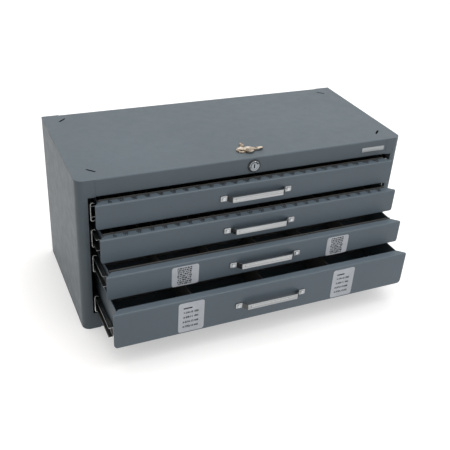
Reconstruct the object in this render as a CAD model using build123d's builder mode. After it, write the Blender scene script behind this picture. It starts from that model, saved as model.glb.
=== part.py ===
from build123d import *
import os

os.makedirs("parts", exist_ok=True)

# A bench-top drawer cabinet for taps and dies, in folded sheet steel: four drawers on
# ball-bearing slides, locked together by a bar behind them that the key turns down.
# Millimetres. X is to the right, Y to the back, Z up; the origin is the centre of the base.

# --- case -------------------------------------------------------------------------------
case_width = 575.0
case_depth = 252.5
sheet = 1.2                   # case and drawer steel
fold_inside = 1.0             # inside radius of every fold
corner_radius = 13.0          # round front corners of the side panels
stile_width = 17.1            # front edge of a side panel, beside the drawers
rail_tab = 29.0               # how far a side panel reaches in along the two rails
seam_gap = 0.25               # open seam between a side panel's tab and a rail
top_rail = 29.1
bottom_rail = 30.8
rail_return = 12.0            # fold at the back of the rails and stiles
back_flange = 14.0
stacking_slot_length = 17.0
stacking_slot_width = 3.4
stacking_slot_inset = 30.7    # from the sides and the front
stacking_slot_back_inset = 24.0

# --- drawer fronts, from the lowest up ----------------------------------------------------
deep_face = 64.6
shallow_face = 42.1
shallow_drawers = 3
gap_below_drawers = 6.5
drawer_gap = 4.9
gap_above_drawers = 4.7
face_side_gap = 6.4
face_corner_radius = 6.0
deep_face_corner_radius = 9.0
lip_depth = 15.0              # top edge of a drawer front, folded back
lip_hem = 5.0
lip_mitre = 13.0
bottom_flange = 10.0
bottom_flange_inset = 12.0    # from the ends of the face
drawer_travel = 170.0
drawer_open = {1: 19.0, 2: 40.5, 3: 70.8, 4: 102.7}    # as photographed, from the top down

# --- drawer trays -------------------------------------------------------------------------
space_behind_trays = 26.5     # for the lock bar, with the drawers shut
wall_below_lip = 4.2
divider_sheet = 1.0
divider_clearance = 0.3
index_setback = 18.5          # from the face to the plate behind the lip
plate_below_lip = 1.0
index_compartments = 24
index_front_height = 25.0
index_back_height = 17.0
bin_columns = 6
bin_rows = 3
deep_bin_columns = 4
deep_bin_rows = 2
bin_wall_height = 27.0
deep_bin_wall_height = 46.0
lap_clearance = 0.15

# --- slides -------------------------------------------------------------------------------
slide_clearance = 3.4         # from the stile's fold to the fixed rails
slide_space = 10.8            # from the uprights to the trays
slide_sheet = 1.2
rail_setback = 2.0            # from the case's front to the fixed rails
rail_end_gap = 2.0            # from the back of the rails to the back of the shut trays
ball_radius = 2.5
ball_clearance = 0.15
ball_row = 12.5               # above and below the middle of a slide
rail_lip_angle = 30.0
groove_angle = 240.0
member_corner = 2.0
member_setback = 22.0         # from the drawer's face to its slide member
deep_member_setback = 28.0
slide_above_base = 21.0       # middle of a slide, above the bottom of its drawer front
deep_slide_above_base = 10.5
cage_sheet = 0.8
cage_length = 50.0
cage_clearance = 0.4
cage_width = 6.9
cage_flange = 2.6
cage_hole_clearance = 0.05
cage_end_gap = 2.25           # to the rails' front, with the drawers fully out
cage_ball_pitch = 18.0
cage_balls = 3
upright_width = 30.0
upright_foot = 8.0
front_upright_setback = 38.0  # from the case's front to the middle of the upright
back_upright_inset = 64.0     # the same from the case's back
rivet_radius = 1.6
rivet_head_radius = 3.2
rivet_head = 1.0
rivet_tail_radius = 2.4
rivet_tail = 0.8

# --- handles ------------------------------------------------------------------------------
handle_tab = 11.4
handle_height = 9.6
handle_sheet = 1.8
handle_projection = 10.5
grip_length = 89.6
leg_spread = 7.2
handle_fold = 1.8
handle_tab_corner = 2.0
handle_rib_length = 82.0
handle_rib_height = 3.4
handle_rib_rise = 0.7
handle_rib_slope = 20.0       # degrees
screw_radius = 1.5
screw_hole_radius = 1.7
screw_head_radius = 2.9
screw_head = 1.5
screw_head_slope = 12.0       # degrees
screw_recess = 0.8
screw_recess_depth = 0.7
nut_radius = 3.1
thread_clearance = 0.05
nut_height = 2.2

# --- lock ---------------------------------------------------------------------------------
lock_x = 1.6
escutcheon_radius = 11.2
escutcheon_thickness = 1.6
lock_flange_radius = 9.1
lock_flange_thickness = 3.0
lock_flange_bevel = 0.8
lock_dish_radius = 7.8        # hollow round the plug, at its front
lock_dish_depth = 1.3
lock_fit = 0.2
lock_body_radius = 8.0
lock_body_length = 18.0
lock_nut_radius = 11.0
lock_nut_height = 3.0
plug_radius = 5.6
plug_clearance = 0.08
plug_proud = 0.2              # above the bottom of the hollow
plug_tail = 1.5
keyway_width = 2.0
keyway_height = 7.4
keyway_depth = 14.0
tail_disc_radius = 5.0
tail_disc_thickness = 2.5
tail_rod_radius = 3.0
crank_thickness = 3.0
crank_gap = 5.0               # from the crank to the lock bar
crank_radius = 10.0
crank_half_width = 4.0
crank_pin_radius = 1.5
crank_slot_clearance = 0.6
bracket_gap = 6.8             # from the rod's bracket to the crank
bracket_half_width = 9.0
bracket_flange = 8.0
lock_bar_back_gap = 1.85      # from the bar to the back panel
lock_bar_sheet = 2.0
lock_bar_width = 20.0
lock_bar_top_gap = 2.0
lock_bar_foot = 10.0          # below the lowest hook
hook_width = 8.0
hook_tip = 5.0
hook_in_catch = 4.0           # how far a hook's tip stands behind its catch's lip
catch_above_base = 6.0
catch_depth = 9.0
catch_lip = 6.0
catch_width = 14.0
catch_play = 1.0
guide_height = 10.0
guide_clearance = 0.5
guide_foot = 8.0
upper_guide_above_catch = 34.0
lower_guide_above_catch = 47.0

# --- keys ---------------------------------------------------------------------------------
key_thickness = 2.0
key_bow_radius = 9.2
key_bow_forward = 3.0         # from the hole to the middle of the bow
key_hole_radius = 2.4
key_hole_to_tip = 30.0
key_blade_width = 6.6
key_notch = 1.1
key_notch_depths = (1.1, 2.2, 1.1, 2.2)
key_notch_pitch = 3.3
key_notch_start = 5.3         # from the tip
key_rest_gap = 0.2
# X of the hole, its distance from the case's front, and the turn
key_poses = {1: (-9.5, 25.8, 67.0), 2: (-0.6, 24.4, 2.0)}

# --- places worked out from the sizes above -------------------------------------------------
half_width = case_width / 2
front_y = -case_depth / 2
back_y = case_depth / 2
fold = fold_inside + sheet / 2
rail_half = half_width - rail_tab - seam_gap
opening_half = half_width - stile_width
case_height = (bottom_rail + gap_below_drawers + deep_face
               + shallow_drawers * (drawer_gap + shallow_face) + gap_above_drawers + top_rail)
opening_top = case_height - top_rail
face_half = opening_half - face_side_gap
rail_face = opening_half - slide_clearance
tray_half = rail_face - slide_space
race = ball_radius + ball_clearance + slide_sheet / 2
ball_x = -rail_face + slide_sheet / 2 + race
drawer_count = shallow_drawers + 1
tray_depth = case_depth - space_behind_trays
rail_length = tray_depth - rail_setback - rail_end_gap
cage_front_closed = front_y + rail_setback + cage_end_gap + drawer_travel / 2
front_upright_y = front_y + front_upright_setback
back_upright_y = back_y - back_upright_inset
handle_length = grip_length + 2 * (leg_spread + handle_tab)
handle_screw_spacing = handle_length - handle_tab
lock_z = case_height - top_rail / 2
crank_side = crank_radius * 0.5 ** 0.5
lock_bar_travel = 2 * crank_side
lock_bar_x = lock_x + (crank_side + crank_radius) / 2
lock_body_y = front_y + lock_body_length
lock_bar_y = back_y - 2 * sheet - lock_bar_back_gap - lock_bar_sheet
crank_y = lock_bar_y - crank_gap - crank_thickness
bracket_y = crank_y - bracket_gap - sheet


def face_height(drawer):
    return deep_face if drawer == drawer_count else shallow_face


def face_base(drawer):
    """Bottom of a drawer front; drawer 1 is the top one."""
    lowest = bottom_rail + gap_below_drawers
    if drawer == drawer_count:
        return lowest
    above_deep = drawer_count - 1 - drawer
    return lowest + deep_face + drawer_gap + above_deep * (shallow_face + drawer_gap)


def face_y(drawer):
    """Front of a drawer's face, pulled out as photographed."""
    return front_y - drawer_open[drawer]


def corner_radius_of_face(drawer):
    return deep_face_corner_radius if drawer == drawer_count else face_corner_radius


def slide_z(drawer):
    rise = deep_slide_above_base if drawer == drawer_count else slide_above_base
    return face_base(drawer) + rise


def catch_z(drawer):
    return face_base(drawer) + catch_above_base


def rivet_places():
    """Rivets of the fixed rails, as Y and Z on the uprights."""
    return [(y, slide_z(drawer)) for drawer in drawer_open
            for y in (front_upright_y, back_upright_y)]


def block(x0, x1, y0, y1, z0, z1, mode=Mode.ADD):
    """A straight block between its limits along X, Y and Z."""
    with Locations(((x0 + x1) / 2, (y0 + y1) / 2, (z0 + z1) / 2)):
        Box(x1 - x0, y1 - y0, z1 - z0, mode=mode)


def save(builder, node):
    builder.part.label = node
    export_step(builder.part, f"parts/{node}.step")


def save_pair(left, left_node, right_node):
    """Write a left piece and its mirror image."""
    save(left, left_node)
    with BuildPart() as right:
        mirror(left.part, about=Plane.YZ)
    save(right, right_node)


# --- case -------------------------------------------------------------------------------

def side_fold_corners():
    """What the folds along the top and bottom of a side leave outside their curves."""
    radius = fold_inside + sheet
    with BuildSketch(Plane.XZ.offset(-front_y - corner_radius)) as corners:
        for edge_z, middle_z in ((sheet, sheet + radius),
                                 (case_height - sheet, case_height - sheet - radius)):
            with Locations((-half_width + radius / 2, (edge_z + middle_z) / 2)):
                Rectangle(radius, radius)
            with Locations((-half_width + radius, middle_z)):
                Circle(radius, mode=Mode.SUBTRACT)
    return corners.sketch


def make_side_panels():
    """A wall that wraps round into the stile, with a tab along each rail."""
    wall_x = -half_width + sheet / 2
    stile_y = front_y + sheet / 2
    tab_end = -half_width + rail_tab
    with BuildPart() as panel:
        with BuildSketch(Plane.XY.offset(sheet)):
            with BuildLine():
                FilletPolyline(
                    (-half_width + back_flange, back_y - sheet / 2),
                    (wall_x, back_y - sheet / 2),
                    (wall_x, stile_y),
                    (tab_end, stile_y),
                    radius=[fold, corner_radius - sheet / 2],
                )
            trace(line_width=sheet)
        extrude(amount=case_height - 2 * sheet)
        block(-opening_half, tab_end, front_y, front_y + sheet,
              bottom_rail, opening_top, mode=Mode.SUBTRACT)
        with BuildSketch(Plane.XY.offset(bottom_rail)):
            with BuildLine():
                FilletPolyline(
                    (-opening_half - fold - sheet, stile_y),
                    (-opening_half - sheet / 2, stile_y),
                    (-opening_half - sheet / 2, front_y + rail_return),
                    radius=fold,
                )
            trace(line_width=sheet)
        extrude(amount=opening_top - bottom_rail)
        for flange_z in (sheet, case_height - 2 * sheet):
            block(-half_width + sheet / 2, -half_width + back_flange,
                  front_y + corner_radius, back_y - 2 * sheet,
                  flange_z, flange_z + sheet)
        extrude(side_fold_corners(), amount=-(case_depth - corner_radius - 2 * sheet),
                mode=Mode.SUBTRACT)
    save_pair(panel, "left_side_panel", "right_side_panel")


def plan_ends(plane):
    """The two ends of the top or bottom sheet, beyond the folded middle."""
    with BuildSketch(plane) as ends:
        outline = Rectangle(case_width, case_depth)
        fillet(outline.vertices().group_by(Axis.Y)[0], radius=corner_radius)
        Rectangle(2 * rail_half, case_depth, mode=Mode.SUBTRACT)
    return ends.sketch


def stacking_slots():
    """Four slots across the corners of the top."""
    x = half_width - stacking_slot_inset
    slots = (
        (-x, front_y + stacking_slot_inset, -45),
        (x, front_y + stacking_slot_inset, 45),
        (-x, back_y - stacking_slot_back_inset, 45),
        (x, back_y - stacking_slot_back_inset, -45),
    )
    with BuildSketch(Plane.XY.offset(case_height)) as openings:
        for slot_x, slot_y, turn in slots:
            with Locations((slot_x, slot_y)):
                SlotOverall(stacking_slot_length, stacking_slot_width, rotation=turn)
    return openings.sketch


def make_top_panel():
    """Top sheet, folded down into the rail with the lock's hole."""
    with BuildPart() as top:
        with BuildSketch(Plane.YZ.offset(-rail_half)):
            with BuildLine():
                FilletPolyline(
                    (front_y + rail_return, opening_top + sheet / 2),
                    (front_y + sheet / 2, opening_top + sheet / 2),
                    (front_y + sheet / 2, case_height - sheet / 2),
                    (back_y - sheet / 2, case_height - sheet / 2),
                    (back_y - sheet / 2, case_height - back_flange),
                    radius=fold,
                )
            trace(line_width=sheet)
        extrude(amount=2 * rail_half)
        extrude(plan_ends(Plane.XY.offset(case_height - sheet)), amount=sheet)
        extrude(stacking_slots(), amount=-sheet, mode=Mode.SUBTRACT)
        with BuildSketch(Plane.XZ.offset(-front_y)):
            with Locations((lock_x, lock_z)):
                Circle(lock_body_radius + lock_fit)
        extrude(amount=-sheet, mode=Mode.SUBTRACT)
    save(top, "top_panel")


def make_bottom_pan():
    """Bottom sheet, folded up into the rail below the drawers."""
    with BuildPart() as pan:
        with BuildSketch(Plane.YZ.offset(-rail_half)):
            with BuildLine():
                FilletPolyline(
                    (front_y + rail_return, bottom_rail - sheet / 2),
                    (front_y + sheet / 2, bottom_rail - sheet / 2),
                    (front_y + sheet / 2, sheet / 2),
                    (back_y - sheet / 2, sheet / 2),
                    (back_y - sheet / 2, back_flange),
                    radius=fold,
                )
            trace(line_width=sheet)
        extrude(amount=2 * rail_half)
        extrude(plan_ends(Plane.XY), amount=sheet)
    save(pan, "bottom_pan")


def make_back_panel():
    """Back sheet, inside the flanges of the sides, top and bottom."""
    inset = sheet + fold_inside
    with BuildPart() as back:
        block(-half_width + inset, half_width - inset, back_y - 2 * sheet, back_y - sheet,
              inset, case_height - inset)
    save(back, "back_panel")


def make_uprights():
    """Hat-section uprights on each side wall, which carry the slides."""
    foot_x = -half_width + sheet * 1.5
    web_x = -rail_face - sheet / 2
    with BuildPart() as uprights:
        for middle in (front_upright_y, back_upright_y):
            near = middle - upright_width / 2
            far = middle + upright_width / 2
            with BuildSketch(Plane.XY.offset(2 * sheet)):
                with BuildLine():
                    FilletPolyline(
                        (foot_x, near - upright_foot),
                        (foot_x, near),
                        (web_x, near),
                        (web_x, far),
                        (foot_x, far),
                        (foot_x, far + upright_foot),
                        radius=fold,
                    )
                trace(line_width=sheet)
            extrude(amount=case_height - 4 * sheet)
        with BuildSketch(Plane.YZ.offset(-rail_face)):
            with Locations(*rivet_places()):
                Circle(rivet_radius)
        extrude(amount=-sheet, mode=Mode.SUBTRACT)
    save_pair(uprights, "left_uprights", "right_uprights")


# --- slides -------------------------------------------------------------------------------

def make_fixed_rail(drawer):
    """C-shaped rail on the uprights, with a curved race for each row of balls."""
    z = slide_z(drawer)
    with BuildPart() as rail:
        with BuildSketch(Plane.XZ.offset(-front_y - rail_setback)):
            with BuildLine():
                CenterArc((ball_x, z + ball_row), race, rail_lip_angle, 180 - rail_lip_angle)
                Line((ball_x - race, z + ball_row), (ball_x - race, z - ball_row))
                CenterArc((ball_x, z - ball_row), race, 180, 180 - rail_lip_angle)
            trace(line_width=slide_sheet)
        extrude(amount=-rail_length)
        with BuildSketch(Plane.YZ.offset(-rail_face)):
            with Locations((front_upright_y, z), (back_upright_y, z)):
                Circle(rivet_radius)
        extrude(amount=slide_sheet, mode=Mode.SUBTRACT)
    save_pair(rail, f"fixed_rail_{drawer}_left", f"fixed_rail_{drawer}_right")


def make_slide_member(drawer):
    """Channel on the side of a tray, grooved for the balls."""
    z = slide_z(drawer)
    web_x = -tray_half - slide_sheet / 2
    flange = ball_row - race
    corner_x = web_x - member_corner
    setback = deep_member_setback if drawer == drawer_count else member_setback
    with BuildPart() as member:
        with BuildSketch(Plane.XZ.offset(-face_y(drawer) - setback)):
            with BuildLine():
                CenterArc((ball_x, z + ball_row), race, groove_angle, 270 - groove_angle)
                Line((ball_x, z + flange), (corner_x, z + flange))
                CenterArc((corner_x, z + flange - member_corner), member_corner, 90, -90)
                Line((web_x, z + flange - member_corner), (web_x, z - flange + member_corner))
                CenterArc((corner_x, z - flange + member_corner), member_corner, 0, -90)
                Line((corner_x, z - flange), (ball_x, z - flange))
                CenterArc((ball_x, z - ball_row), race, 90, 270 - groove_angle)
            trace(line_width=slide_sheet)
        extrude(amount=-(tray_depth - setback))
    save_pair(member, f"slide_member_{drawer}_left", f"slide_member_{drawer}_right")


def cage_strip(z_sign, z, front):
    """One retainer strip with a pocket for each ball, stiffened by a flange."""
    row = z + z_sign * ball_row
    left = ball_x - race + slide_sheet / 2 + cage_clearance
    right = left + cage_width
    block(left, right, front, front + cage_length, row - cage_sheet / 2, row + cage_sheet / 2)
    tip = row - z_sign * (cage_sheet / 2 + cage_flange - cage_sheet)
    block(right - cage_sheet, right, front, front + cage_length,
          min(row, tip), max(row, tip))


def make_ball_cages(drawer):
    """Ball cages of both slides, halfway between the fixed rail and the drawer."""
    z = slide_z(drawer)
    front = cage_front_closed - drawer_open[drawer] / 2
    middle = front + cage_length / 2
    rows = [(ball_x, middle + (i - (cage_balls - 1) / 2) * cage_ball_pitch, z + s * ball_row)
            for i in range(cage_balls) for s in (-1, 1)]
    with BuildPart() as cages:
        for sign in (-1, 1):
            cage_strip(sign, z, front)
        with Locations(*rows):
            Sphere(ball_radius + cage_hole_clearance, mode=Mode.SUBTRACT)
        with Locations(*rows):
            Sphere(ball_radius)
        mirror(about=Plane.YZ)
    save(cages, f"ball_cages_{drawer}")


def make_rail_rivets():
    """Rivets through the fixed rails and the uprights."""
    with BuildPart() as rivets:
        rivet_steps = (
            (rivet_head_radius, -rail_face + slide_sheet, rivet_head),
            (rivet_radius, -rail_face - sheet, slide_sheet + sheet),
            (rivet_tail_radius, -rail_face - sheet - rivet_tail, rivet_tail),
        )
        for radius, start, length in rivet_steps:
            with BuildSketch(Plane.YZ.offset(start)):
                with Locations(*rivet_places()):
                    Circle(radius)
            extrude(amount=length)
        mirror(about=Plane.YZ)
    save(rivets, "rail_rivets")


# --- drawers ------------------------------------------------------------------------------

def screw_places(drawer):
    """Centres of the handle screws on a drawer's face, as X and Z."""
    z = face_base(drawer) + face_height(drawer) / 2
    return (-handle_screw_spacing / 2, z), (handle_screw_spacing / 2, z)


def make_tray(drawer):
    """Open tray with a catch for the lock's hook on its back wall."""
    front = face_y(drawer) + sheet
    rear = face_y(drawer) + tray_depth
    base = face_base(drawer) + sheet
    top = face_base(drawer) + face_height(drawer) - wall_below_lip
    catch = catch_z(drawer)
    with BuildPart() as tray:
        with BuildSketch(Plane.YZ):
            with Locations(((front + rear) / 2, (base + top) / 2)):
                outer = Rectangle(rear - front, top - base)
            fillet(outer.vertices().group_by(Axis.Y)[0], radius=fold_inside + sheet)
        extrude(amount=tray_half, both=True)
        with BuildSketch(Plane.YZ):
            with Locations(((front + rear) / 2, (base + sheet + top) / 2)):
                inner = Rectangle(rear - front - 2 * sheet, top - base - sheet)
            fillet(inner.vertices().group_by(Axis.Y)[0], radius=fold_inside)
        extrude(amount=tray_half - sheet, both=True, mode=Mode.SUBTRACT)
        with BuildSketch(Plane.XZ.offset(-front)):
            with Locations(*screw_places(drawer)):
                Circle(screw_hole_radius)
        extrude(amount=-sheet, mode=Mode.SUBTRACT)
        block(lock_bar_x - catch_width / 2, lock_bar_x + catch_width / 2,
              rear - sheet, rear + catch_depth, catch, catch + sheet)
        block(lock_bar_x - catch_width / 2, lock_bar_x + catch_width / 2,
              rear + catch_depth - sheet, rear + catch_depth, catch, catch + catch_lip)
    save(tray, f"drawer_{drawer}_tray")


def make_front(drawer):
    """Face with a mitred lip folded back from its top edge and a flange under the tray."""
    y = face_y(drawer)
    base = face_base(drawer)
    top = base + face_height(drawer)
    radius = corner_radius_of_face(drawer)
    with BuildPart() as front:
        with BuildSketch(Plane.YZ):
            with BuildLine():
                FilletPolyline(
                    (y + lip_depth - sheet / 2, top - lip_hem),
                    (y + lip_depth - sheet / 2, top - sheet / 2),
                    (y + sheet / 2, top - sheet / 2),
                    (y + sheet / 2, base + sheet / 2),
                    (y + bottom_flange, base + sheet / 2),
                    radius=fold,
                )
            trace(line_width=sheet)
        extrude(amount=face_half, both=True)
        with BuildSketch(Plane.XY.offset(top)):
            for side in (-1, 1):
                with BuildLine():
                    Polyline(
                        (side * (face_half + sheet), y + sheet + fold_inside),
                        (side * face_half, y + sheet + fold_inside),
                        (side * (face_half - lip_mitre), y + lip_depth),
                        (side * (face_half - lip_mitre), y + lip_depth + sheet),
                        (side * (face_half + sheet), y + lip_depth + sheet),
                        close=True,
                    )
                make_face()
        extrude(amount=-lip_hem - sheet, mode=Mode.SUBTRACT)
        for side in (-1, 1):
            ends = sorted((side * (face_half - bottom_flange_inset), side * (face_half + sheet)))
            block(ends[0], ends[1], y + sheet, y + bottom_flange + sheet,
                  base - sheet, base + sheet + fold_inside, mode=Mode.SUBTRACT)
        with BuildSketch(Plane.XZ.offset(-y)):
            for side in (-1, 1):
                with Locations((side * (face_half - radius / 2), base + radius / 2)):
                    Rectangle(radius, radius)
                with Locations((side * (face_half - radius), base + radius)):
                    Circle(radius, mode=Mode.SUBTRACT)
        extrude(amount=-(sheet + fold_inside), mode=Mode.SUBTRACT)
        with BuildSketch(Plane.XZ.offset(-y)):
            with Locations(*screw_places(drawer)):
                Circle(screw_hole_radius)
        extrude(amount=-sheet, mode=Mode.SUBTRACT)
    save(front, f"drawer_{drawer}_front")


def make_handle(drawer):
    """Strap handle: flat tabs, short legs and a ribbed grip."""
    y = face_y(drawer)
    z = face_base(drawer) + face_height(drawer) / 2
    tab_y = y - handle_sheet / 2
    grip_y = y - handle_projection + handle_sheet / 2
    path = (
        (-handle_length / 2, tab_y),
        (-grip_length / 2 - leg_spread, tab_y),
        (-grip_length / 2, grip_y),
        (grip_length / 2, grip_y),
        (grip_length / 2 + leg_spread, tab_y),
        (handle_length / 2, tab_y),
    )
    with BuildPart() as handle:
        with BuildSketch(Plane.XY.offset(z - handle_height / 2)):
            with BuildLine():
                FilletPolyline(*path, radius=handle_fold + handle_sheet / 2)
            trace(line_width=handle_sheet)
        extrude(amount=handle_height)
        ends = handle.edges().filter_by(Axis.Y).group_by(Axis.X)
        fillet(ends[0] + ends[-1], radius=handle_tab_corner)
        with BuildSketch(Plane.XZ.offset(-grip_y)):
            with Locations((0, z)):
                SlotOverall(handle_rib_length, handle_rib_height)
        extrude(amount=handle_sheet / 2 + handle_rib_rise, taper=handle_rib_slope)
        with BuildSketch(Plane.XZ.offset(-y + handle_sheet)):
            with Locations(*screw_places(drawer)):
                Circle(screw_hole_radius)
        extrude(amount=-handle_sheet, mode=Mode.SUBTRACT)
    save(handle, f"drawer_{drawer}_handle")


def make_handle_screws(drawer):
    """Two pan-head screws and the nuts behind the tray's front wall."""
    head_y = face_y(drawer) - handle_sheet
    nut_y = face_y(drawer) + 2 * sheet
    shank_end = nut_y + nut_height + screw_radius / 2
    with BuildPart() as screws:
        with BuildSketch(Plane.XZ.offset(-head_y)):
            with Locations(*screw_places(drawer)):
                Circle(screw_head_radius)
        extrude(amount=screw_head, taper=screw_head_slope)
        with BuildSketch(Plane.XZ.offset(-head_y + screw_head)):
            with Locations(*screw_places(drawer)):
                Rectangle(2 * screw_head_radius, screw_recess)
        extrude(amount=-screw_recess_depth, mode=Mode.SUBTRACT)
        with BuildSketch(Plane.XZ.offset(-head_y)):
            with Locations(*screw_places(drawer)):
                Circle(screw_radius)
        extrude(amount=-(shank_end - head_y))
        with BuildSketch(Plane.XZ.offset(-nut_y)):
            with Locations(*screw_places(drawer)):
                RegularPolygon(nut_radius, side_count=6)
                Circle(screw_radius + thread_clearance, mode=Mode.SUBTRACT)
        extrude(amount=-nut_height)
    save(screws, f"drawer_{drawer}_handle_screws")


def lip_plate(drawer):
    """Cross plate just behind the lip, at the front of the dividers."""
    y = face_y(drawer) + index_setback
    base = face_base(drawer)
    reach = tray_half - sheet - divider_clearance
    block(-reach, reach, y, y + divider_sheet,
          base + 2 * sheet, base + face_height(drawer) - plate_below_lip)


def make_index_dividers(drawer):
    """Long narrow compartments, one for each size along the lip."""
    floor = face_base(drawer) + 2 * sheet
    near = face_y(drawer) + index_setback + divider_sheet + divider_clearance
    far = face_y(drawer) + tray_depth - sheet - fold_inside
    inner = tray_half - sheet
    pitch = 2 * inner / index_compartments
    with BuildPart() as dividers:
        lip_plate(drawer)
        for i in range(1, index_compartments):
            with BuildSketch(Plane.YZ.offset(-inner + i * pitch - divider_sheet / 2)):
                with BuildLine():
                    Polyline(
                        (near, floor),
                        (far, floor),
                        (far, floor + index_back_height),
                        (near, floor + index_front_height),
                        close=True,
                    )
                make_face()
            extrude(amount=divider_sheet)
    save(dividers, f"drawer_{drawer}_dividers")


def make_bin_dividers(drawer, columns, rows, height, near_wall):
    """Egg-crate bins: long and short plates that slot into each other."""
    floor = face_base(drawer) + 2 * sheet
    far_wall = face_y(drawer) + tray_depth - sheet
    inner = tray_half - sheet
    pitch_x = 2 * inner / columns
    pitch_y = (far_wall - near_wall) / rows
    across = [near_wall + i * pitch_y for i in range(1, rows)]
    along = [-inner + i * pitch_x for i in range(1, columns)]
    half = divider_sheet / 2
    slot = half + lap_clearance
    reach = inner - divider_clearance
    with BuildPart() as dividers:
        for y in across:
            block(-reach, reach, y - half, y + half, floor, floor + height)
            for x in along:
                block(x - slot, x + slot, y - half, y + half,
                      floor + height / 2, floor + height, mode=Mode.SUBTRACT)
    with BuildPart() as cross_plates:
        for x in along:
            block(x - half, x + half, near_wall + divider_clearance,
                  far_wall - fold_inside, floor, floor + height)
            for y in across:
                block(x - half, x + half, y - slot, y + slot,
                      floor, floor + height / 2 + lap_clearance, mode=Mode.SUBTRACT)
    with BuildPart() as bins:
        add(dividers.part)
        add(cross_plates.part)
        if near_wall > face_y(drawer) + index_setback:
            lip_plate(drawer)
    save(bins, f"drawer_{drawer}_dividers")


# --- lock ---------------------------------------------------------------------------------

def make_lock_escutcheon():
    """Dark ring round the lock."""
    with BuildPart() as ring:
        with BuildSketch(Plane.XZ.offset(-front_y)):
            with Locations((lock_x, lock_z)):
                Circle(escutcheon_radius)
                Circle(lock_flange_radius + lock_fit, mode=Mode.SUBTRACT)
        extrude(amount=escutcheon_thickness)
        front_edges = ring.edges().filter_by(GeomType.CIRCLE).group_by(Axis.Y)[0]
        fillet(front_edges.sort_by(SortBy.RADIUS)[-1], radius=escutcheon_thickness / 2)
    save(ring, "lock_escutcheon")


def make_lock_housing():
    """Chrome lock cylinder: bevelled, hollowed flange outside, body through the rail."""
    flange_plane = Plane.XZ.offset(-front_y + lock_flange_thickness)
    bore = plug_radius + plug_clearance
    with BuildPart() as housing:
        with BuildSketch(Plane.XZ.offset(-front_y)):
            with Locations((lock_x, lock_z)):
                Circle(lock_flange_radius)
        extrude(amount=lock_flange_thickness)
        chamfer(housing.edges().filter_by(GeomType.CIRCLE).sort_by(Axis.Y)[0],
                length=lock_flange_bevel)
        with BuildSketch(Plane.XZ.offset(-front_y)):
            with Locations((lock_x, lock_z)):
                Circle(lock_body_radius)
        extrude(amount=-lock_body_length)
        with BuildSketch(flange_plane):
            with Locations((lock_x, lock_z)):
                Circle(bore)
        extrude(amount=-(lock_flange_thickness + lock_body_length), mode=Mode.SUBTRACT)
        with BuildSketch(flange_plane):
            with Locations((lock_x, lock_z)):
                Circle(lock_dish_radius)
        with BuildSketch(flange_plane.offset(-lock_dish_depth)):
            with Locations((lock_x, lock_z)):
                Circle(bore)
        loft(mode=Mode.SUBTRACT)
    save(housing, "lock_housing")


def make_lock_nut():
    """Hexagon nut that clamps the lock behind the rail."""
    with BuildPart() as nut:
        with BuildSketch(Plane.XZ.offset(-front_y - sheet)):
            with Locations((lock_x, lock_z)):
                RegularPolygon(lock_nut_radius, side_count=6)
                Circle(lock_body_radius + thread_clearance, mode=Mode.SUBTRACT)
        extrude(amount=-lock_nut_height)
    save(nut, "lock_nut")


def make_lock_plug():
    """Plug with a keyway, running in the housing."""
    plug_front = front_y - lock_flange_thickness + lock_dish_depth - plug_proud
    with BuildPart() as plug:
        with BuildSketch(Plane.XZ.offset(-plug_front)):
            with Locations((lock_x, lock_z)):
                Circle(plug_radius)
        extrude(amount=-(lock_body_y + plug_tail - plug_front))
        with BuildSketch(Plane.XZ.offset(-plug_front)):
            with Locations((lock_x, lock_z)):
                Rectangle(keyway_width, keyway_height)
        extrude(amount=-keyway_depth, mode=Mode.SUBTRACT)
    save(plug, "lock_plug")


def make_lock_tail_rod():
    """Rod from the plug to a crank whose pin works the lock bar."""
    disc_y = lock_body_y + plug_tail
    pin_place = (lock_x + crank_side, lock_z + crank_side)
    with BuildPart() as rod:
        with BuildSketch(Plane.XZ.offset(-disc_y)):
            with Locations((lock_x, lock_z)):
                Circle(tail_disc_radius)
        extrude(amount=-tail_disc_thickness)
        with BuildSketch(Plane.XZ.offset(-disc_y)):
            with Locations((lock_x, lock_z)):
                Circle(tail_rod_radius)
        extrude(amount=-(crank_y - disc_y))
        with BuildSketch(Plane.XZ.offset(-crank_y)):
            with Locations(((lock_x + pin_place[0]) / 2, (lock_z + pin_place[1]) / 2)):
                SlotCenterToCenter(crank_radius, 2 * crank_half_width, rotation=45)
        extrude(amount=-crank_thickness)
        with BuildSketch(Plane.XZ.offset(-crank_y)):
            with Locations(pin_place):
                Circle(crank_pin_radius)
        extrude(amount=-(lock_bar_y + lock_bar_sheet + crank_slot_clearance - crank_y))
    save(rod, "lock_tail_rod")


def make_lock_rod_bracket():
    """Bearing bracket that hangs the rod from the top panel."""
    under = case_height - sheet
    with BuildPart() as bracket:
        with BuildSketch(Plane.YZ.offset(lock_x - bracket_half_width)):
            with BuildLine():
                FilletPolyline(
                    (bracket_y - bracket_flange, under - sheet / 2),
                    (bracket_y + sheet / 2, under - sheet / 2),
                    (bracket_y + sheet / 2, lock_z - bracket_half_width),
                    radius=fold,
                )
            trace(line_width=sheet)
        extrude(amount=2 * bracket_half_width)
        with BuildSketch(Plane.XZ.offset(-bracket_y)):
            with Locations((lock_x, lock_z)):
                Circle(tail_rod_radius + plug_clearance)
        extrude(amount=-sheet, mode=Mode.SUBTRACT)
    save(bracket, "lock_rod_bracket")


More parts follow.
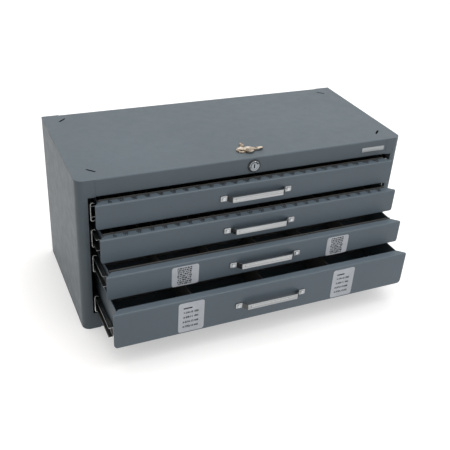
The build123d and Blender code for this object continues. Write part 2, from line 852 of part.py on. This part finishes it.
def make_lock_bar():
    """Flat bar behind the trays, with a hook over each drawer's catch."""
    top = case_height - sheet - lock_bar_top_gap
    near = lock_bar_x - lock_bar_width / 2
    far = lock_bar_x + lock_bar_width / 2
    front = front_y + tray_depth + catch_depth - sheet - catch_play - hook_in_catch
    lowest_hook = catch_z(drawer_count) + lock_bar_travel
    pin_slot = crank_radius - crank_side + 2 * (crank_pin_radius + crank_slot_clearance)
    with BuildPart() as bar:
        block(near, far, lock_bar_y, lock_bar_y + lock_bar_sheet,
              lowest_hook - lock_bar_foot, top)
        for drawer in drawer_open:
            tip = catch_z(drawer) + sheet + catch_play + lock_bar_travel
            arm = tip + hook_tip
            left = lock_bar_x - hook_width / 2
            right = lock_bar_x + hook_width / 2
            block(left, right, front, lock_bar_y, arm, arm + lock_bar_sheet)
            block(left, right, front, front + lock_bar_sheet, tip, arm)
        with BuildSketch(Plane.XZ.offset(-lock_bar_y)):
            with Locations((lock_bar_x, lock_z + crank_side)):
                Rectangle(pin_slot, 2 * (crank_pin_radius + crank_slot_clearance))
        extrude(amount=-lock_bar_sheet, mode=Mode.SUBTRACT)
    save(bar, "lock_bar")


def make_lock_bar_guides():
    """Straps on the back panel that the bar slides in."""
    inner = lock_bar_width / 2 + guide_clearance
    leg = inner + sheet / 2
    bridge_y = lock_bar_y - guide_clearance - sheet / 2
    foot_y = back_y - 2 * sheet - sheet / 2
    middles = (
        catch_z(1) + upper_guide_above_catch,
        catch_z(drawer_count) + lower_guide_above_catch,
    )
    with BuildPart() as guides:
        for middle in middles:
            with BuildSketch(Plane.XY.offset(middle - guide_height / 2)):
                with BuildLine():
                    Polyline(
                        (lock_bar_x - leg - guide_foot, foot_y),
                        (lock_bar_x - leg, foot_y),
                        (lock_bar_x - leg, bridge_y),
                        (lock_bar_x + leg, bridge_y),
                        (lock_bar_x + leg, foot_y),
                        (lock_bar_x + leg + guide_foot, foot_y),
                    )
                trace(line_width=sheet)
            extrude(amount=guide_height)
    save(guides, "lock_bar_guides")


# --- keys ---------------------------------------------------------------------------------

def make_key(number):
    """Flat key lying on the top panel; the second lies across the first."""
    x, setback, turn = key_poses[number]
    rest = case_height + (number - 1) * (key_thickness + key_rest_gap)
    key_plane = Plane(origin=(x, front_y + setback, rest)).rotated((0, 0, turn))
    half = key_blade_width / 2
    with BuildPart() as key:
        with BuildSketch(key_plane):
            with Locations((key_bow_forward, 0)):
                Circle(key_bow_radius)
            with BuildLine():
                Polyline(
                    (key_bow_forward, -half),
                    (key_hole_to_tip - half, -half),
                    (key_hole_to_tip, 0),
                    (key_hole_to_tip - half, half),
                    (key_bow_forward, half),
                    close=True,
                )
            make_face()
            for i, depth in enumerate(key_notch_depths):
                with Locations((key_hole_to_tip - key_notch_start - i * key_notch_pitch, half)):
                    Rectangle(key_notch, depth, mode=Mode.SUBTRACT)
            Circle(key_hole_radius, mode=Mode.SUBTRACT)
        extrude(amount=key_thickness)
    save(key, f"key_{number}")


make_side_panels()
make_top_panel()
make_bottom_pan()
make_back_panel()
make_uprights()
make_rail_rivets()
for drawer in drawer_open:
    make_fixed_rail(drawer)
    make_slide_member(drawer)
    make_ball_cages(drawer)
    make_tray(drawer)
    make_front(drawer)
    make_handle(drawer)
    make_handle_screws(drawer)
make_index_dividers(1)
make_index_dividers(2)
make_bin_dividers(3, bin_columns, bin_rows, bin_wall_height,
                  face_y(3) + index_setback + divider_sheet)
make_bin_dividers(4, deep_bin_columns, deep_bin_rows, deep_bin_wall_height,
                  face_y(4) + 2 * sheet)
make_lock_escutcheon()
make_lock_housing()
make_lock_nut()
make_lock_plug()
make_lock_tail_rod()
make_lock_rod_bracket()
make_lock_bar()
make_lock_bar_guides()
make_key(1)
make_key(2)
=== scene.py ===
import math

import bmesh
import bpy
from mathutils import Matrix, Vector


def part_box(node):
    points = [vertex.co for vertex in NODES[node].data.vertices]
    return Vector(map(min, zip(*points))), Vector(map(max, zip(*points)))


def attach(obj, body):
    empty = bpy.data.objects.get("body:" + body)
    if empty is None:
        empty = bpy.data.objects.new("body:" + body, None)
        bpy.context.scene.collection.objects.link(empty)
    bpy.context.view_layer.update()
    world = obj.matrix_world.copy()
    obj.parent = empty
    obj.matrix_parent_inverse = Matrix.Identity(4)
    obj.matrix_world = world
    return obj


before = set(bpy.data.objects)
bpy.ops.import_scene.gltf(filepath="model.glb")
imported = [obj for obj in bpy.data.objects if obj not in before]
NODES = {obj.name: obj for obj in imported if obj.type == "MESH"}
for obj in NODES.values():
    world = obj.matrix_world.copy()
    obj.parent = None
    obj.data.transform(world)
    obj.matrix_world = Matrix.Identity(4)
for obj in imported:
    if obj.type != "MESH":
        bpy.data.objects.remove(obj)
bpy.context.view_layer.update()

# A four-drawer steel cabinet. Everything is in metres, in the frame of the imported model:
# X to the right, Y to the back, Z up, the origin at the centre of the base.

MM = 0.001
SCENE = bpy.context.scene

# --- camera, fitted to the photograph's perspective ------------------------------------------
CAMERA_PLACE = (-0.46595, -1.01064, 0.75632)
CAMERA_RIGHT = (0.915439, -0.398114, 0.058957)
CAMERA_FORWARD = (0.368465, 0.770159, -0.520661)
CAMERA_LENS_MM = 55.15
CAMERA_SENSOR_MM = 36.0

# --- paper labels on the two lower drawers: X of the edges, Z of the edges, mm ----------------
LABELS = {
    "label_3_left": (3, -161.5, -116.5, 107.5, 144.0),
    "label_3_right": (3, 116.5, 158.5, 107.5, 143.5),
    "label_4_left": (4, -161.0, -117.8, 40.5, 97.5),
    "label_4_right": (4, 117.0, 159.0, 40.5, 97.0),
}
LABEL_THICKNESS = 0.25
LABEL_CORNER = 4.2
LABEL_EDGE = 0.08
PRINT_THICKNESS = 0.06

# --- print on the labels: shares of the label's width and height, and boldness in mm -----------
TABLE_PITCH = 0.1
TABLE_SIZE = 0.09
TABLE_SHIFT = -0.03
TABLE_BOLD = 0.3
TABLE_WORDS = ("13 20 4 617 82 95", "2 24 315 8 40 172", "31 8 926 15 7 38", "4 102 1 38 56 29",
               "50 61 224 9 3 418", "6 14 70 325 1 53", "71 3 184 2 90 66", "8 120 16 4 25 307",
               "92 7 31 508 6 14")
HEADING_WIDTH = 0.34
HEADING_HEIGHT = 0.045
HEADING_PLACE = (-0.14, 0.315)
LIST_FIRST = 0.165
LIST_PITCH = 0.16
LIST_SIZE = 0.082
LIST_SHIFTS = (-0.125, 0.19)
LIST_BOLD = 0.26
LIST_WORDS = (("1-1/4-10", "520"), ("2-3/8-11", "494"), ("3-5/16-12", "468"), ("4-7/32-13", "442"))

# --- bare plate at the right end of the top rail, mm -------------------------------------------
PLATE = (208.0, 253.0, 257.5, 265.8)
PLATE_THICKNESS = 0.8
PLATE_CORNER = 1.2
PLATE_EDGE = 0.3

# --- size numbers along the lips of drawers 1 and 2, two lines to a mark, mm -------------------
MARK_FIRST_X = -243.0
MARK_FIRST_SHIFT = 3.0
MARK_PITCH = 20.75
MARK_BEHIND_FACE = 8.6
MARK_LINE_PITCH = 4.1
MARK_HEIGHT = 6.0
MARK_BOLD = 0.42
SIZES = {
    1: ("0/80 172/64 256/56 348/56 440/48 540/44 632/40 832/36 1024/32 1032/32 1224/28 1228/28 "
        "1420/24 1424/24 1618/20 1624/20 1816/18 1820/18 2014/16 2020/16 2413/14 2420/14 "
        "2812/12 2818/12").split(),
    2: ("1/10 102/11 103/12 104/13 105/14 106/15 107/16 108/17 109/18 110/19 111/20 112/21 "
        "113/22 114/23 115/24 116/25 117/26 118/27 119/28 120/29 121/30 122/31 123/32 "
        "124/33").split(),
}

# --- studio: strength of the world, its tint on each side, the floor, and the lights -----------
WORLD_LIGHT = 0.47
WORLD_LEFT = (0.62, 0.55, 0.48, 1)
WORLD_RIGHT = (1.12, 1.14, 1.18, 1)
WHITE = (1, 1, 1, 1)
FLOOR_REACH = 6.0
FLOOR_TONE = 0.55
FLOOR_ROUGHNESS = 0.9
FLOOR_LIFT = 0.75
# reach, depth and samples of the painted contact shadow in the floor's glow
CONTACT_REACH = 0.12
CONTACT_DEPTH = 0.5
CONTACT_SAMPLES = 16
# each light: its place, the point it aims at, its width and height, its watts and its colour
LIGHTS = {
    "overhead": ((0.25, 0.1, 2.4), (0, 0, 0.1), (2.5, 2.0), 31.0, (1.0, 0.99, 0.97)),
    "strip": ((0.75, -1.15, 1.85), (0, -0.1, 0.15), (1.4, 0.16), 2.0, (1.0, 1.0, 1.0)),
    "low_front": ((0.25, -1.5, 0.35), (0, -0.25, 0.03), (1.2, 0.3), 2.2, (1.0, 0.99, 0.98)),
}


def srgb(red, green, blue):
    """A colour written as 0-255 sRGB, as the linear values that shaders take."""
    linear = []
    for value in (red, green, blue):
        share = value / 255
        linear.append(share / 12.92 if share <= 0.04045 else ((share + 0.055) / 1.055) ** 2.4)
    return (*linear, 1.0)


# --- materials ---------------------------------------------------------------------------------

class Shader:
    """Builds one node material: a Principled surface and the nodes that feed it."""

    def __init__(self, name):
        self.material = bpy.data.materials.new(name)
        self.material.use_nodes = True
        self.tree = self.material.node_tree
        self.surface = self.tree.nodes["Principled BSDF"]
        coordinates = self.add("ShaderNodeTexCoord")
        self.place = coordinates.outputs["Object"]
        self.normal = coordinates.outputs["Normal"]

    def add(self, kind, **settings):
        node = self.tree.nodes.new(kind)
        for key, value in settings.items():
            setattr(node, key, value)
        return node

    def link(self, output, node, name):
        self.tree.links.new(output, node.inputs[name])

    def set(self, **values):
        """Constants on the surface's own sockets, named with underscores for spaces."""
        for key, value in values.items():
            self.surface.inputs[key.replace("_", " ")].default_value = value

    def scaled(self, scale):
        """Object coordinates stretched along each axis."""
        mapping = self.add("ShaderNodeMapping")
        mapping.inputs["Scale"].default_value = scale
        self.link(self.place, mapping, "Vector")
        return mapping.outputs["Vector"]

    def noise(self, scale, detail, place=None):
        node = self.add("ShaderNodeTexNoise")
        node.inputs["Scale"].default_value = scale
        node.inputs["Detail"].default_value = detail
        self.link(place or self.place, node, "Vector")
        return node.outputs["Fac"]

    def ramp(self, value, stops):
        """A colour ramp; stops are (position, colour)."""
        node = self.add("ShaderNodeValToRGB")
        ramp = node.color_ramp
        while len(ramp.elements) < len(stops):
            ramp.elements.new(0.5)
        for element, (position, colour) in zip(ramp.elements, stops):
            element.position = position
            element.color = colour
        self.link(value, node, "Fac")
        return node.outputs["Color"]

    def spread(self, value, low, high):
        """Maps 0.3-0.7 of a noise to low-high."""
        node = self.add("ShaderNodeMapRange")
        node.inputs["From Min"].default_value = 0.3
        node.inputs["From Max"].default_value = 0.7
        node.inputs["To Min"].default_value = low
        node.inputs["To Max"].default_value = high
        self.link(value, node, "Value")
        return node.outputs["Result"]

    def mix(self, share, first, second, blend_type="MIX"):
        """Mixes two colours, each an output or four numbers."""
        node = self.add("ShaderNodeMix", data_type="RGBA", blend_type=blend_type)
        for index, value in ((0, share), (6, first), (7, second)):
            socket = node.inputs[index]
            if isinstance(value, (float, tuple)):
                socket.default_value = value
            else:
                self.tree.links.new(value, socket)
        return node.outputs[2]

    def facing(self, axis):
        """How far the surface faces along an axis, from -1 to 1."""
        parts = self.add("ShaderNodeSeparateXYZ")
        self.link(self.normal, parts, "Vector")
        return parts.outputs[axis]

    def compared(self, operation, value, limit=0.0):
        """A number worked out from a value and a limit."""
        node = self.add("ShaderNodeMath", operation=operation)
        node.inputs[1].default_value = limit
        self.link(value, node, 0)
        return node.outputs[0]

    def bump(self, height, strength, distance):
        node = self.add("ShaderNodeBump")
        node.inputs["Strength"].default_value = strength
        node.inputs["Distance"].default_value = distance
        self.link(height, node, "Height")
        return node.outputs["Normal"]


def shade(colour, factor):
    """A colour made darker or lighter."""
    return (colour[0] * factor, colour[1] * factor, colour[2] * factor, 1.0)


def enamel(name, colour, roughness, gloss):
    """Baked enamel: faint cloudy tone and soft orange peel."""
    s = Shader(name)
    cloudy = s.noise(5.0, 3.0)
    tone = s.ramp(cloudy, ((0.3, shade(colour, 0.95)), (0.7, shade(colour, 1.05))))
    s.link(tone, s.surface, "Base Color")
    s.link(s.spread(s.noise(60.0, 3.0), roughness - 0.05, roughness + 0.05), s.surface, "Roughness")
    s.link(s.bump(s.noise(120.0, 1.0), 0.02, 0.0006), s.surface, "Normal")
    s.set(Specular_IOR_Level=gloss)
    return s.material


def brushed_metal(name, colour, roughness):
    """Metal with fine lines along X, uneven in tone and gloss, with painted shade where it faces
    along X.
    """
    s = Shader(name)
    lines = s.noise(1.0, 3.0, s.scaled((8.0, 340.0, 340.0)))
    # painted shade: where the surface faces along X its colour drops to 0.22 of the tone
    painted_side_shade = s.compared("GREATER_THAN", s.compared("ABSOLUTE", s.facing("X")), 0.5)
    tone = s.ramp(lines, ((0.3, shade(colour, 0.72)), (0.7, shade(colour, 1.14))))
    s.link(s.mix(painted_side_shade, tone, shade(colour, 0.22)), s.surface, "Base Color")
    s.link(s.spread(lines, roughness - 0.08, roughness + 0.08), s.surface, "Roughness")
    s.link(s.bump(lines, 0.12, 0.0002), s.surface, "Normal")
    s.set(Metallic=1.0)
    return s.material


def slide_plate(name, end_highlight_colour):
    """Oiled dark zinc on the slides and brackets; the sheared front ends are bare and lighter, their
    colour partly bare metal and partly a painted highlight.
    """
    s = Shader(name)
    patch = s.noise(40.0, 3.0)
    stops = ((0.3, srgb(84, 88, 90)), (0.55, srgb(104, 106, 106)), (0.75, srgb(118, 114, 104)))
    # painted highlight: faces looking to the front, the sheared ends, take the end highlight colour
    end = s.compared("LESS_THAN", s.facing("Y"), -0.9)
    s.link(s.mix(end, s.ramp(patch, stops), end_highlight_colour), s.surface, "Base Color")
    s.link(s.spread(s.noise(180.0, 3.0), 0.3, 0.46), s.surface, "Roughness")
    s.link(s.bump(s.noise(420.0, 2.0), 0.1, 0.0004), s.surface, "Normal")
    s.set(Metallic=1.0)
    return s.material


def polished(name, colour, roughness):
    """Polished plating with a faint haze and fine scratches."""
    s = Shader(name)
    haze = s.noise(140.0, 4.0)
    s.link(s.ramp(haze, ((0.3, shade(colour, 0.93)), (0.7, colour))), s.surface, "Base Color")
    s.link(s.spread(haze, roughness * 0.6, roughness * 1.6), s.surface, "Roughness")
    s.link(s.bump(s.noise(900.0, 2.0), 0.03, 0.0001), s.surface, "Normal")
    s.set(Metallic=1.0)
    return s.material


def key_brass():
    """Worn nickel-brass keys: pale gold, browner in patches."""
    s = Shader("key_brass_finish")
    wear = s.noise(120.0, 4.0)
    stops = ((0.4, srgb(104, 88, 74)), (0.5, srgb(184, 168, 148)), (0.6, srgb(222, 212, 196)))
    s.link(s.ramp(wear, stops), s.surface, "Base Color")
    s.link(s.spread(s.noise(300.0, 3.0), 0.22, 0.42), s.surface, "Roughness")
    s.link(s.bump(s.noise(500.0, 3.0), 0.15, 0.0003), s.surface, "Normal")
    s.set(Metallic=1.0)
    return s.material


def black_plastic():
    """Moulded plastic with a fine grain."""
    s = Shader("black_plastic_finish")
    grain = s.noise(800.0, 3.0)
    s.link(s.ramp(grain, ((0.3, srgb(18, 20, 23)), (0.7, srgb(34, 37, 41)))), s.surface, "Base Color")
    s.link(s.spread(grain, 0.34, 0.5), s.surface, "Roughness")
    s.link(s.bump(grain, 0.1, 0.0002), s.surface, "Normal")
    return s.material


def label_paper():
    """Coated paper, a little uneven, with fine fibres."""
    s = Shader("label_paper")
    blotch = s.noise(50.0, 3.0)
    fibres = s.noise(1.0, 3.0, s.scaled((2400.0, 2400.0, 300.0)))
    base = s.ramp(blotch, ((0.3, srgb(194, 200, 208)), (0.7, srgb(210, 216, 224))))
    streaks = s.ramp(fibres, ((0.3, (0, 0, 0, 1)), (0.7, WHITE)))
    s.link(s.mix(0.12, base, streaks, "OVERLAY"), s.surface, "Base Color")
    s.link(s.spread(fibres, 0.5, 0.66), s.surface, "Roughness")
    s.link(s.bump(fibres, 0.08, 0.0001), s.surface, "Normal")
    return s.material


def print_ink(name, dark, light):
    """Printed ink that covers a little unevenly."""
    s = Shader(name)
    cover = s.noise(2600.0, 2.0)
    s.link(s.ramp(cover, ((0.35, dark), (0.75, light))), s.surface, "Base Color")
    s.link(s.spread(cover, 0.5, 0.7), s.surface, "Roughness")
    return s.material


FINISHES = {
    "case_enamel": enamel("case_enamel_finish", srgb(98, 110, 118), 0.46, 0.3),
    "drawer_enamel": enamel("drawer_enamel_finish", srgb(95, 108, 118), 0.4, 0.4),
    "divider_enamel": enamel("divider_enamel_finish", srgb(116, 116, 114), 0.45, 0.4),
    # the slides' sheared ends carry a painted highlight, near white on the left slides
    "zinc_plate": slide_plate("zinc_plate_finish", srgb(232, 234, 232)),
    # painted shade: the right slides' copy, with a dimmer painted highlight on the sheared ends
    "zinc_plate_right": slide_plate("zinc_plate_right_finish", srgb(140, 142, 141)),
    "satin_nickel": brushed_metal("satin_nickel_finish", srgb(168, 170, 171), 0.28),
    "bright_steel": polished("bright_steel_finish", srgb(196, 200, 204), 0.16),
    "chrome_plate": polished("chrome_plate_finish", srgb(140, 146, 150), 0.07),
    "black_plastic": black_plastic(),
    "key_brass": key_brass(),
}
PAPER = label_paper()
LABEL_INK = print_ink("label_ink", srgb(16, 18, 22), srgb(40, 43, 50))
LIP_INK = print_ink("lip_ink", srgb(22, 26, 30), srgb(46, 52, 58))
PLATE_METAL = brushed_metal("plate_metal", srgb(150, 154, 156), 0.34)


def dress_frame():
    """Gives every node the finish of its material slot; right slides get a copy whose sheared ends
    have a dimmer painted highlight, as painted shade.
    """
    for node in NODES.values():
        for slot in node.material_slots:
            finish = slot.material.name.split(".")[0]
            # right slides take the copy with painted shade on their sheared ends
            if finish == "zinc_plate" and "right" in node.name:
                finish = "zinc_plate_right"
            slot.material = FINISHES[finish]


# --- small mesh tools ----------------------------------------------------------------------------

def rounded_outline(width, height, corner, steps=6):
    """Points of a rounded rectangle about the origin, anticlockwise."""
    points = []
    for turn, (sx, sz) in enumerate(((1, 1), (-1, 1), (-1, -1), (1, -1))):
        for i in range(steps + 1):
            angle = math.pi / 2 * (turn + i / steps)
            points.append((sx * (width / 2 - corner) + corner * math.cos(angle),
                           sz * (height / 2 - corner) + corner * math.sin(angle)))
    return points


def mesh_piece(name, mesh, material, body):
    """Links a finished mesh as a piece that rides on a body."""
    mesh.materials.clear()
    mesh.materials.append(material)
    piece = bpy.data.objects.new(name, mesh)
    SCENE.collection.objects.link(piece)
    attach(piece, body)


def sheet_mesh(name, outline, thickness, edge):
    """A thin sheet facing -Y: its back lies in Y = 0, its edges softened."""
    mesh = bpy.data.meshes.new(name)
    bm = bmesh.new()
    back = [bm.verts.new((x, 0, z)) for x, z in outline]
    face = bm.faces.new(back)
    extruded = bmesh.ops.extrude_face_region(bm, geom=[face])
    front = [v for v in extruded["geom"] if isinstance(v, bmesh.types.BMVert)]
    bmesh.ops.translate(bm, verts=front, vec=(0, -thickness, 0))
    rim = [e for e in bm.edges if all(abs(v.co.y + thickness) < 1e-9 for v in e.verts)]
    bmesh.ops.bevel(bm, geom=rim, offset=edge, segments=2, affect="EDGES", profile=0.5)
    bmesh.ops.recalc_face_normals(bm, faces=bm.faces)
    bm.to_mesh(mesh)
    bm.free()
    return mesh


def text_mesh(words, size, depth, bold):
    """Words as a thin raised mesh in XY, centred on the origin."""
    curve = bpy.data.curves.new("words", "FONT")
    curve.body = words
    curve.size = size
    curve.align_x = "CENTER"
    curve.align_y = "CENTER"
    curve.extrude = depth / 2
    curve.resolution_u = 3
    curve.offset = bold
    holder = bpy.data.objects.new("words", curve)
    SCENE.collection.objects.link(holder)
    mesh = bpy.data.meshes.new_from_object(holder)
    bpy.data.objects.remove(holder)
    bpy.data.curves.remove(curve)
    return mesh


def joined(name, placed):
    """One mesh from (mesh, matrix) pairs."""
    bm = bmesh.new()
    for mesh, matrix in placed:
        mesh.transform(matrix)
        bm.from_mesh(mesh)
        bpy.data.meshes.remove(mesh)
    whole = bpy.data.meshes.new(name)
    bm.to_mesh(whole)
    bm.free()
    return whole


STAND_UP = Matrix.Rotation(math.radians(90), 4, "X")


def face_front(drawer):
    """Y of a drawer's face."""
    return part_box(f"drawer_{drawer}_front")[0].y


# --- pieces --------------------------------------------------------------------------------------

def bar_mesh(width, height, depth):
    """A printed bar, in XY, centred on the origin."""
    mesh = bpy.data.meshes.new("bar")
    bm = bmesh.new()
    bmesh.ops.create_cube(bm, size=1.0)
    bmesh.ops.scale(bm, verts=bm.verts, vec=(width, height, depth))
    bm.to_mesh(mesh)
    bm.free()
    return mesh


def printed_words(words, size, bold, x, up):
    """Words of the label print, and their place from the label's middle."""
    mesh = text_mesh(words, size, PRINT_THICKNESS * MM, bold * MM)
    return mesh, Matrix.Translation((x, up, 0))


def small_table_print(width, height):
    """Close rows of numbers."""
    placed = []
    for row, words in enumerate(TABLE_WORDS):
        up = ((len(TABLE_WORDS) - 1) / 2 - row) * height * TABLE_PITCH
        placed.append(printed_words(words, height * TABLE_SIZE, TABLE_BOLD, width * TABLE_SHIFT, up))
    return placed


def list_print(width, height):
    """A heading bar and four lines of numbers."""
    x, up = HEADING_PLACE
    bar = bar_mesh(width * HEADING_WIDTH, height * HEADING_HEIGHT, PRINT_THICKNESS * MM)
    placed = [(bar, Matrix.Translation((width * x, height * up, 0)))]
    for row, line in enumerate(LIST_WORDS):
        up = height * (LIST_FIRST - LIST_PITCH * row)
        for words, shift in zip(line, LIST_SHIFTS):
            placed.append(printed_words(words, height * LIST_SIZE, LIST_BOLD, width * shift, up))
    return placed


def make_labels():
    """Paper labels with their print, stuck on the drawer faces."""
    for name, (drawer, left, right, low, high) in LABELS.items():
        width = (right - left) * MM
        height = (high - low) * MM
        middle = Vector(((left + right) / 2 * MM, face_front(drawer), (low + high) / 2 * MM))
        paper = sheet_mesh(name, rounded_outline(width, height, LABEL_CORNER * MM),
                           LABEL_THICKNESS * MM, LABEL_EDGE * MM)
        paper.transform(Matrix.Translation(middle))
        mesh_piece(name, paper, PAPER, f"drawer_{drawer}")
        rows = small_table_print(width, height) if drawer == 3 else list_print(width, height)
        ink = joined(f"{name}_print", rows)
        out = Vector((0, -(LABEL_THICKNESS + PRINT_THICKNESS / 4) * MM, 0))
        ink.transform(Matrix.Translation(middle + out) @ STAND_UP)
        mesh_piece(f"{name}_print", ink, LABEL_INK, f"drawer_{drawer}")


def make_lip_numbers():
    """Size numbers on the folded lips; the first mark is set in from the mitred end."""
    for drawer, sizes in SIZES.items():
        lip_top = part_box(f"drawer_{drawer}_front")[1].z
        placed = []
        for i, pair in enumerate(sizes):
            x = (MARK_FIRST_X + MARK_PITCH * i + (0 if i else MARK_FIRST_SHIFT)) * MM
            for words, up in zip(pair.split("/"), (0.5, -0.5)):
                y = face_front(drawer) + (MARK_BEHIND_FACE + up * MARK_LINE_PITCH) * MM
                spot = Matrix.Translation((x, y, lip_top + PRINT_THICKNESS / 4 * MM))
                mesh = text_mesh(words, MARK_HEIGHT * MM, PRINT_THICKNESS * MM, MARK_BOLD * MM)
                placed.append((mesh, spot))
        ink = joined(f"drawer_{drawer}_size_numbers", placed)
        mesh_piece(f"drawer_{drawer}_size_numbers", ink, LIP_INK, f"drawer_{drawer}")


def make_plate():
    """Bare plate on the top rail."""
    left, right, low, high = (value * MM for value in PLATE)
    plate = sheet_mesh("rail_plate", rounded_outline(right - left, high - low, PLATE_CORNER * MM),
                       PLATE_THICKNESS * MM, PLATE_EDGE * MM)
    rail_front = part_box("top_panel")[0].y
    plate.transform(Matrix.Translation(((left + right) / 2, rail_front, (low + high) / 2)))
    mesh_piece("rail_plate", plate, PLATE_METAL, "cabinet")


# --- stage ---------------------------------------------------------------------------------------

def make_camera():
    right = Vector(CAMERA_RIGHT)
    back = -Vector(CAMERA_FORWARD)
    up = back.cross(right)
    data = bpy.data.cameras.new("camera")
    data.lens = CAMERA_LENS_MM
    data.sensor_width = CAMERA_SENSOR_MM
    data.sensor_fit = "HORIZONTAL"
    camera = bpy.data.objects.new("camera", data)
    SCENE.collection.objects.link(camera)
    turn = Matrix((right, up, back)).transposed().to_4x4()
    camera.matrix_world = Matrix.Translation(CAMERA_PLACE) @ turn
    SCENE.camera = camera


def seen_directly(tree):
    """1 for camera, glossy and transmission rays, else 0."""
    path = tree.nodes.new("ShaderNodeLightPath")
    total = path.outputs["Is Camera Ray"]
    for name in ("Is Glossy Ray", "Is Transmission Ray"):
        adder = tree.nodes.new("ShaderNodeMath")
        adder.operation = "MAXIMUM"
        tree.links.new(total, adder.inputs[0])
        tree.links.new(path.outputs[name], adder.inputs[1])
        total = adder.outputs[0]
    return total


def make_world():
    """Soft light, warmer and weaker from the left, and white where it is seen."""
    world = bpy.data.worlds.new("studio")
    SCENE.world = world
    world.use_nodes = True
    tree = world.node_tree
    soft = tree.nodes["Background"]
    soft.inputs["Strength"].default_value = WORLD_LIGHT
    direction = tree.nodes.new("ShaderNodeTexCoord")
    parts = tree.nodes.new("ShaderNodeSeparateXYZ")
    across = tree.nodes.new("ShaderNodeMapRange")
    across.inputs["From Min"].default_value = -1.0
    tint = tree.nodes.new("ShaderNodeMix")
    tint.data_type = "RGBA"
    tint.inputs[6].default_value = WORLD_LEFT
    tint.inputs[7].default_value = WORLD_RIGHT
    tree.links.new(direction.outputs["Generated"], parts.inputs[0])
    tree.links.new(parts.outputs["X"], across.inputs["Value"])
    tree.links.new(across.outputs["Result"], tint.inputs[0])
    tree.links.new(tint.outputs[2], soft.inputs["Color"])
    white = tree.nodes.new("ShaderNodeBackground")
    white.inputs["Color"].default_value = WHITE
    white.inputs["Strength"].default_value = 1.0
    mix = tree.nodes.new("ShaderNodeMixShader")
    tree.links.new(seen_directly(tree), mix.inputs[0])
    tree.links.new(soft.outputs[0], mix.inputs[1])
    tree.links.new(white.outputs[0], mix.inputs[2])
    tree.links.new(mix.outputs[0], tree.nodes["World Output"].inputs["Surface"])


def make_floor():
    """Pale floor that keeps the shadow and is white away from it; its white glow is dimmed near the
    cabinet by ambient occlusion, a painted contact shadow.
    """
    mesh = bpy.data.meshes.new("floor")
    bm = bmesh.new()
    bmesh.ops.create_grid(bm, x_segments=1, y_segments=1, size=FLOOR_REACH)
    bm.to_mesh(mesh)
    bm.free()
    floor = bpy.data.objects.new("floor", mesh)
    SCENE.collection.objects.link(floor)
    material = bpy.data.materials.new("floor")
    material.use_nodes = True
    tree = material.node_tree
    surface = tree.nodes["Principled BSDF"]
    surface.inputs["Base Color"].default_value = (FLOOR_TONE, FLOOR_TONE, FLOOR_TONE, 1)
    surface.inputs["Roughness"].default_value = FLOOR_ROUGHNESS
    surface.inputs["Specular IOR Level"].default_value = 0.0
    lift = tree.nodes.new("ShaderNodeEmission")
    lift.inputs["Color"].default_value = WHITE
    # painted contact shadow: ambient occlusion dims the floor's white glow close to the cabinet
    near = tree.nodes.new("ShaderNodeAmbientOcclusion")
    near.samples = CONTACT_SAMPLES
    near.inputs["Distance"].default_value = CONTACT_REACH
    painted_contact_shadow = tree.nodes.new("ShaderNodeMapRange")
    painted_contact_shadow.inputs["To Min"].default_value = FLOOR_LIFT * (1 - CONTACT_DEPTH)
    painted_contact_shadow.inputs["To Max"].default_value = FLOOR_LIFT
    tree.links.new(near.outputs["AO"], painted_contact_shadow.inputs["Value"])
    scale = tree.nodes.new("ShaderNodeMath")
    scale.operation = "MULTIPLY"
    tree.links.new(seen_directly(tree), scale.inputs[0])
    tree.links.new(painted_contact_shadow.outputs["Result"], scale.inputs[1])
    tree.links.new(scale.outputs[0], lift.inputs["Strength"])
    both = tree.nodes.new("ShaderNodeAddShader")
    tree.links.new(surface.outputs[0], both.inputs[0])
    tree.links.new(lift.outputs[0], both.inputs[1])
    tree.links.new(both.outputs[0], tree.nodes["Material Output"].inputs["Surface"])
    mesh.materials.append(material)


def area_light(name, place, aim, size, watts, colour):
    data = bpy.data.lights.new(name, "AREA")
    data.shape = "RECTANGLE"
    data.size, data.size_y = size
    data.energy = watts
    data.color = colour
    light = bpy.data.objects.new(name, data)
    SCENE.collection.objects.link(light)
    light.location = place
    light.rotation_mode = "QUATERNION"
    light.rotation_quaternion = (Vector(aim) - Vector(place)).to_track_quat("-Z", "Y")


def make_lights():
    for name, values in LIGHTS.items():
        area_light(name, *values)


SCENE.view_settings.view_transform = "Standard"
dress_frame()
make_labels()
make_lip_numbers()
make_plate()
make_camera()
make_world()
make_floor()
make_lights()
